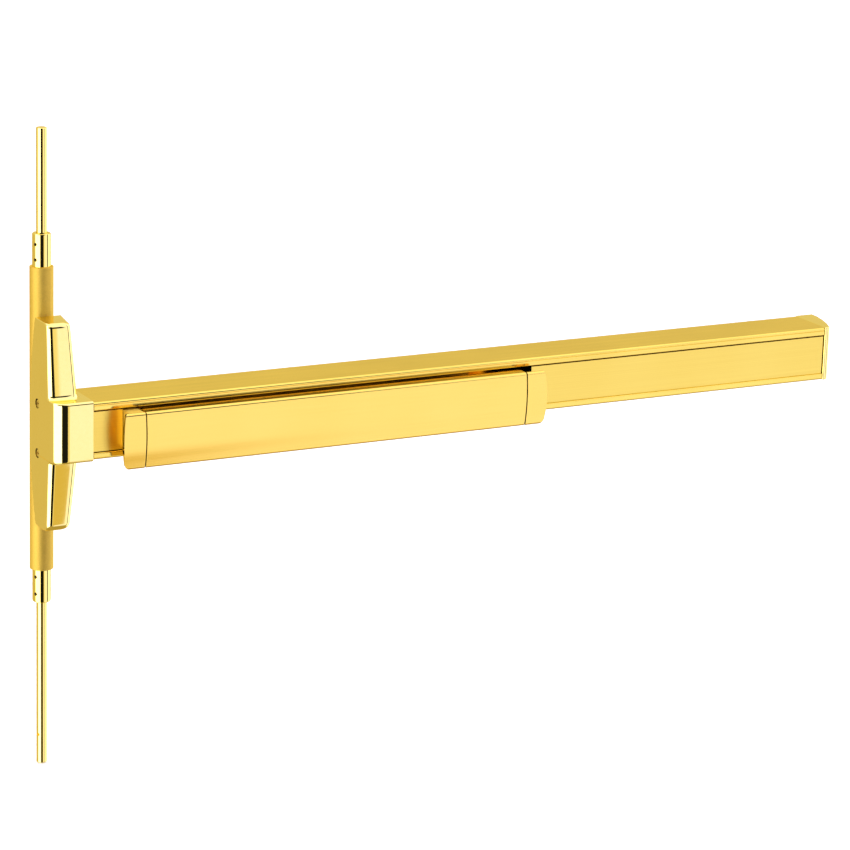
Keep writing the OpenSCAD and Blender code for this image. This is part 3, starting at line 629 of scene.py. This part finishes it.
def turned(name, profile):
    """Turns a profile of (radius, height) round the rods' axis."""
    bpy.ops.object.select_all(action="DESELECT")
    bpy.ops.mesh.primitive_plane_add(size=0.001, location=(0, 0, 0))
    piece = bpy.context.object
    piece.name = name
    bpy.ops.object.mode_set(mode="EDIT")
    bpy.ops.mesh.merge(type="CENTER")
    bpy.ops.transform.translate(value=(profile[0][0] * MM, ROD_Y * MM, profile[0][1] * MM))
    for near, far in zip(profile, profile[1:]):
        bpy.ops.mesh.extrude_vertices_move(TRANSFORM_OT_translate={
            "value": ((far[0] - near[0]) * MM, 0, (far[1] - near[1]) * MM)})
    bpy.ops.mesh.select_all(action="SELECT")
    bpy.ops.mesh.spin(steps=72, angle=math.tau, center=(0, ROD_Y * MM, 0), axis=(0, 0, 1))
    bpy.ops.mesh.select_all(action="SELECT")
    bpy.ops.mesh.remove_doubles(threshold=1e-6)
    bpy.ops.mesh.normals_make_consistent(inside=False)
    bpy.ops.object.mode_set(mode="OBJECT")
    return piece


def cross_drill(piece, z, radius):
    """Drills through a turned piece for a cross pin, turned as the pins are."""
    bpy.ops.object.select_all(action="DESELECT")
    bpy.ops.mesh.primitive_cylinder_add(vertices=32, radius=radius * MM, depth=0.04,
                                        location=(0, ROD_Y * MM, z * MM),
                                        rotation=(0, math.pi / 2, math.radians(28)))
    cut(piece, bpy.context.object)


upper_rod = turned("upper_rod_bar", [(0, 158), (5, 158), (5, 274), (4.6, 274.5), (0, 274.5)])
finish(upper_rod, rod_brass, "upper_rod_set", "polished_gold", "upper_rod")
lower_rod = turned("lower_rod_bar", [(0, -345.5), (4.5, -345.5), (5, -345), (5, -165), (0, -165)])
cross_drill(lower_rod, -316.7, 1.5)
finish(lower_rod, rod_brass, "lower_rod_set", "polished_gold", "lower_rod")

upper_coupling = turned("upper_coupling_sleeve", [
    (0, 96), (8.2, 96), (8.75, 96.6), (8.75, 174.4), (8.4, 175.2), (7.8, 175.6), (5.1, 175.6),
    (5.1, 172), (0, 172)])
lower_coupling = turned("lower_coupling_sleeve", [
    (0, -179), (5.1, -179), (5.1, -182.8), (7.4, -182.8), (8.3, -182.3), (8.75, -181.2),
    (8.75, -100), (0, -100)])
for z in (151, 165.6):
    cross_drill(upper_coupling, z, 1.75)
for z in (-157, -174):
    cross_drill(lower_coupling, z, 1.75)
finish(upper_coupling, rod_brass, "upper_rod_set", "polished_gold", "upper_coupling")
finish(lower_coupling, rod_brass, "lower_rod_set", "polished_gold", "lower_coupling")
pin_steel = metal("dark_pin_steel", (0.20, 0.18, 0.15), (0.10, 0.09, 0.08), (0.35, 0.5),
                  (1, 1, 1), 700, 0.3)
plain("upper_coupling_pins", pin_steel)
plain("lower_coupling_pins", pin_steel)

# ---------------------------------------------------------------- rod housing
# A thick brass-finished tube stands behind the case in the stile's cut-out.
# It is bead-blasted to an even satin, and its ends are lightly rounded.
blasted = metal("blasted_brass", (0.96, 0.70, 0.14), (0.78, 0.55, 0.095), (0.62, 0.72),
                (1, 1, 1), 1100, 0.7)
plain("rod_housing", blasted)

# ---------------------------------------------------------------- inner works
# The chassis, rail, base, cranks, levers and link are pressed or cut steel,
# zinc plated. Pins and screws are darker, the bumpers are rubber, and the
# guides are black nylon.
zinc = metal("zinc_plated_steel", (0.66, 0.67, 0.68), (0.50, 0.51, 0.53), (0.24, 0.40),
             (1, 1, 1), 300, 0.25)
spring_wire = metal("spring_wire", (0.34, 0.34, 0.35), (0.22, 0.22, 0.23), (0.22, 0.34),
                    (1, 1, 1), 500, 0.2)
rubber = metal("bumper_rubber", (0.030, 0.030, 0.031), (0.018, 0.018, 0.019), (0.6, 0.8),
               (1, 1, 1), 800, 0.6, metallic=0.0)
nylon = metal("black_nylon", (0.035, 0.035, 0.037), (0.022, 0.022, 0.024), (0.42, 0.55),
              (1, 1, 1), 500, 0.3, metallic=0.0)
for node in nodes:
    if nodes[node].hide_render or nodes[node].data.materials and nodes[node].data.materials[0] in (
            screw_brass, pin_steel, blasted):
        continue
    if "bumper" in node:
        plain(node, rubber)
    elif "guides" in node:
        plain(node, nylon)
    elif "pin" in node or "screw" in node:
        plain(node, pin_steel)
    else:
        plain(node, zinc)

# ---------------------------------------------------------------- return spring
# A compression spring wound from 1.4 mm wire in 9 turns. It sits on its guide
# pin between the link bar's collar and a fixed seat. In the lock the link shortens
# it; here it is wound at one length and stays with the frame.
WIRE, COIL, TURNS, SEAT, LINK_TRAVEL = 0.7, 4.6, 9, 300.0, 12.7
low, high = (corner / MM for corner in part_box("return_spring"))
bpy.ops.object.select_all(action="DESELECT")
bpy.ops.mesh.primitive_circle_add(vertices=14, radius=WIRE * MM,
                                  location=((low.x + WIRE) * MM, (low.y + high.y) / 2 * MM, 0))
spring = bpy.context.object
spring.name = "link_return_spring"
bpy.ops.object.mode_set(mode="EDIT")
bpy.ops.mesh.select_all(action="SELECT")
bpy.ops.transform.translate(value=(0, COIL * MM, 0))
bpy.ops.object.mode_set(mode="OBJECT")
shape(spring, "SCREW", axis="X", angle=math.tau, iterations=TURNS, steps=32, render_steps=32,
      screw_offset=(high.x - low.x - 2 * WIRE) / TURNS * MM)
bpy.ops.object.mode_set(mode="EDIT")
bpy.ops.mesh.select_all(action="SELECT")
bpy.ops.mesh.fill_holes(sides=0)
bpy.ops.mesh.select_all(action="SELECT")
bpy.ops.mesh.normals_make_consistent(inside=False)
bpy.ops.object.mode_set(mode="OBJECT")
finish(spring, spring_wire, "frame", "spring_steel", "return_spring")
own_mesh(spring)
